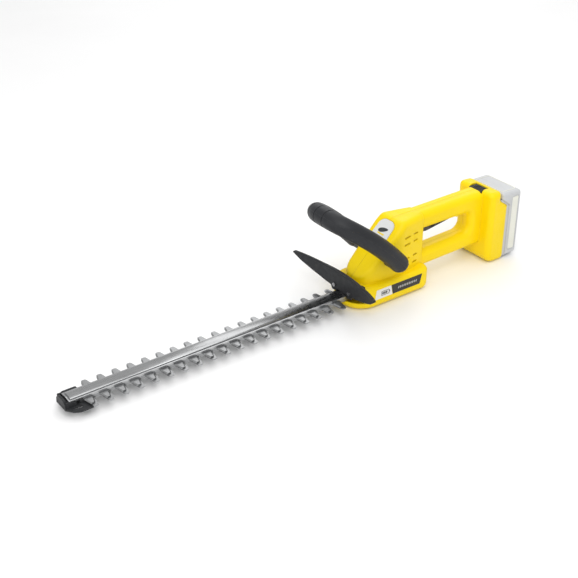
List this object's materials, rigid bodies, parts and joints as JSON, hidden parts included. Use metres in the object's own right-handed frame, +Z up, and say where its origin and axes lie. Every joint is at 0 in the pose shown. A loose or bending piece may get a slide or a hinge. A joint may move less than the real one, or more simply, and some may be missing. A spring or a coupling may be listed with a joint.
{
  "type": "hedge trimmer",
  "caption": "Battery hedge trimmer: two sliding toothed blades on a flat bar, a hand guard, a tilted bow front handle, a closed rear handle with trigger, and a slide-on battery.",
  "frame": {"origin": "on the floor under the middle of the whole tool's bounding box", "axes": "+X forward to the blade's tip, +Y to the tool's left, +Z up"},
  "size_m": [0.772, 0.1858, 0.1667],
  "materials": {
    "yellow_plastic": "fine grain",
    "black_plastic": "fine grain",
    "grey_plastic": "fine grain",
    "badge_silver": "satin",
    "label_white": "printed film",
    "label_black": "printed film",
    "battery_plastic": "satin",
    "battery_panel": "printed film",
    "blade_steel": "ground",
    "screw_steel": "zinc plated",
    "shaft_steel": "ground",
    "bar_alloy": "pressed",
    "cast_alloy": "die cast",
    "motor_steel": "zinc plated",
    "gear_steel": "sintered",
    "bronze": "turned",
    "copper": "enamelled wire",
    "magnet": "pressed ferrite",
    "carbon": "carbon",
    "lead_rubber": "moulded",
    "board": "lacquered",
    "spring_steel": "drawn",
    "cell_wrap": "shrink wrap over a steel can",
    "nickel": "nickel strip"
  },
  "bodies": {
    "body": {"housing_left": "yellow_plastic", "housing_right": "yellow_plastic", "housing_screws": "screw_steel", "badge_plate": "badge_silver", "pale_labels": "label_white", "dark_labels": "label_black", "hand_guard": "black_plastic", "guard_screws": "screw_steel", "bow_upper_shell": "black_plastic", "bow_lower_shell": "black_plastic", "bow_collars": "black_plastic", "bow_screws": "screw_steel", "safety_switch": "black_plastic", "safety_spring": "spring_steel", "guide_bar": "bar_alloy", "bar_bolts": "screw_steel", "bar_washers": "screw_steel", "bar_bushes": "bronze", "bar_screws": "screw_steel", "tip_guard": "black_plastic", "tip_screws": "screw_steel", "gearbox_base": "cast_alloy", "gearbox_cover": "cast_alloy", "gearbox_screws": "screw_steel", "crank_bearings": "bronze", "motor_can": "motor_steel", "motor_magnets": "magnet", "motor_endbell": "black_plastic", "motor_brushes": "carbon", "motor_bearings": "bronze", "trigger_pin": "shaft_steel", "trigger_spring": "spring_steel", "main_switch": "black_plastic", "control_board": "board", "terminal_block": "black_plastic", "terminal_blades": "nickel", "motor_leads": "lead_rubber", "battery_leads": "lead_rubber", "terminal_leads": "lead_rubber", "button_spring": "spring_steel"},
    "upper_blade": {"upper_blade": "blade_steel"},
    "lower_blade": {"lower_blade": "blade_steel"},
    "crank": {"crank_gear": "gear_steel", "crank_shaft": "shaft_steel", "upper_eccentric": "gear_steel", "lower_eccentric": "gear_steel"},
    "rotor": {"motor_shaft": "shaft_steel", "rotor_core": "motor_steel", "rotor_windings": "copper", "commutator": "copper", "pinion": "gear_steel"},
    "trigger": {"trigger": "black_plastic"},
    "safety_bar": {"safety_bar": "grey_plastic"},
    "release_button": {"release_button": "black_plastic"},
    "battery": {"battery_front_case": "battery_plastic", "battery_rear_case": "battery_plastic", "battery_panels": "battery_panel", "battery_cells": "cell_wrap", "cell_links": "nickel", "battery_clips": "nickel"}
  },
  "joints": [
    {"name": "upper_blade_slide", "type": "slide", "parent": "body", "child": "upper_blade", "axis": [1, 0, 0], "range_m": [-0.0055, 0.0055]},
    {"name": "lower_blade_slide", "type": "slide", "parent": "body", "child": "lower_blade", "axis": [1, 0, 0], "range_m": [-0.0055, 0.0055]},
    {"name": "crank_spin", "type": "hinge", "parent": "body", "child": "crank", "pos_m": [-0.115, 0, 0.0257], "axis": [0, 0, 1], "continuous": true},
    {"name": "rotor_spin", "type": "hinge", "parent": "body", "child": "rotor", "pos_m": [-0.145, 0, 0.05], "axis": [0, 0, 1], "continuous": true},
    {"name": "trigger_press", "type": "hinge", "parent": "body", "child": "trigger", "pos_m": [-0.271, 0, 0.0935], "axis": [0, -1, 0], "range_deg": [0, 5], "stiffness_Nm_per_rad": 0.5, "springref_deg": -17.19, "deforming": ["trigger_spring"]},
    {"name": "safety_press", "type": "slide", "parent": "body", "child": "safety_bar", "axis": [0.8422, 0, 0.5392], "range_m": [0, 0.003], "stiffness_N_per_m": 600, "springref_m": -0.01, "deforming": ["safety_spring"]},
    {"name": "button_press", "type": "slide", "parent": "body", "child": "release_button", "axis": [0, 0, -1], "range_m": [0, 0.003], "stiffness_N_per_m": 800, "springref_m": -0.005, "deforming": ["button_spring"]},
    {"name": "battery_slide", "type": "slide", "parent": "body", "child": "battery", "axis": [0, 0, 1], "range_m": [0, 0.105]}
  ],
  "couplings": [
    {"joint": "lower_blade_slide", "follows": "upper_blade_slide", "ratio": -1},
    {"joint": "rotor_spin", "follows": "crank_spin", "ratio": -4}
  ]
}
